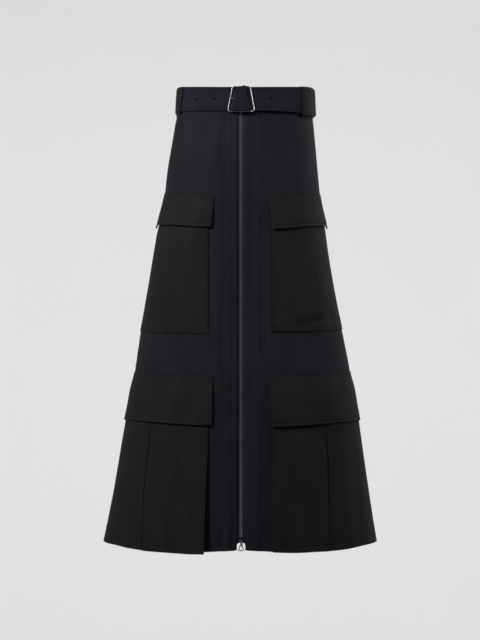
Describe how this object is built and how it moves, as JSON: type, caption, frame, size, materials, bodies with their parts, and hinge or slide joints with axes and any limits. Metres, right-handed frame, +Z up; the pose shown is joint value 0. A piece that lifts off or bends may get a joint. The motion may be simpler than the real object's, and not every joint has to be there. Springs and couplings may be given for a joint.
{
  "type": "cargo utility skirt",
  "caption": "Long A-line skirt with a front zip, buckled belt, patch pockets with flaps at hip and thigh, hollow as worn.",
  "frame": {"origin": "middle of the waist on the plane of the zip, level with the waistband's top edge at the sides", "axes": "+Z up, the front with the zip faces -Y, +X to the viewer's right"},
  "size_m": [0.5385, 0.3852, 0.9042],
  "materials": {
    "navy_twill": "matt cotton twill",
    "black_twill": "matt cotton twill",
    "zip_tape": "woven polyester",
    "zip_metal": "nickel-plated brass",
    "buckle_metal": "polished nickel"
  },
  "bodies": {
    "skirt": {"waistband_front_left": "navy_twill", "waistband_front_right": "navy_twill", "waistband_back": "navy_twill", "side_front_left": "navy_twill", "center_front_left": "navy_twill", "center_front_right": "navy_twill", "side_front_right": "navy_twill", "back_right": "navy_twill", "back_left": "navy_twill", "upper_pocket_left": "black_twill", "upper_pocket_right": "black_twill", "lower_pocket_front_left": "black_twill", "lower_pocket_side_left": "black_twill", "lower_pocket_front_right": "black_twill", "lower_pocket_side_right": "black_twill", "upper_flap_left": "black_twill", "upper_flap_right": "black_twill", "lower_flap_left": "black_twill", "lower_flap_right": "black_twill", "belt_strap": "navy_twill", "buckle_frame": "buckle_metal", "buckle_prong": "buckle_metal", "belt_tunnel_left": "black_twill", "belt_tunnel_right": "black_twill", "zip_tape_left": "zip_tape", "zip_tape_right": "zip_tape", "zip_chain": "zip_metal", "zip_slider": "zip_metal"},
    "zip_pull": {"zip_pull": "zip_metal"}
  },
  "joints": [
    {"name": "pull_swing", "type": "hinge", "parent": "skirt", "child": "zip_pull", "pos_m": [0, -0.18748, -0.87577], "axis": [1, 0, 0], "range_deg": [-165, 0]}
  ]
}
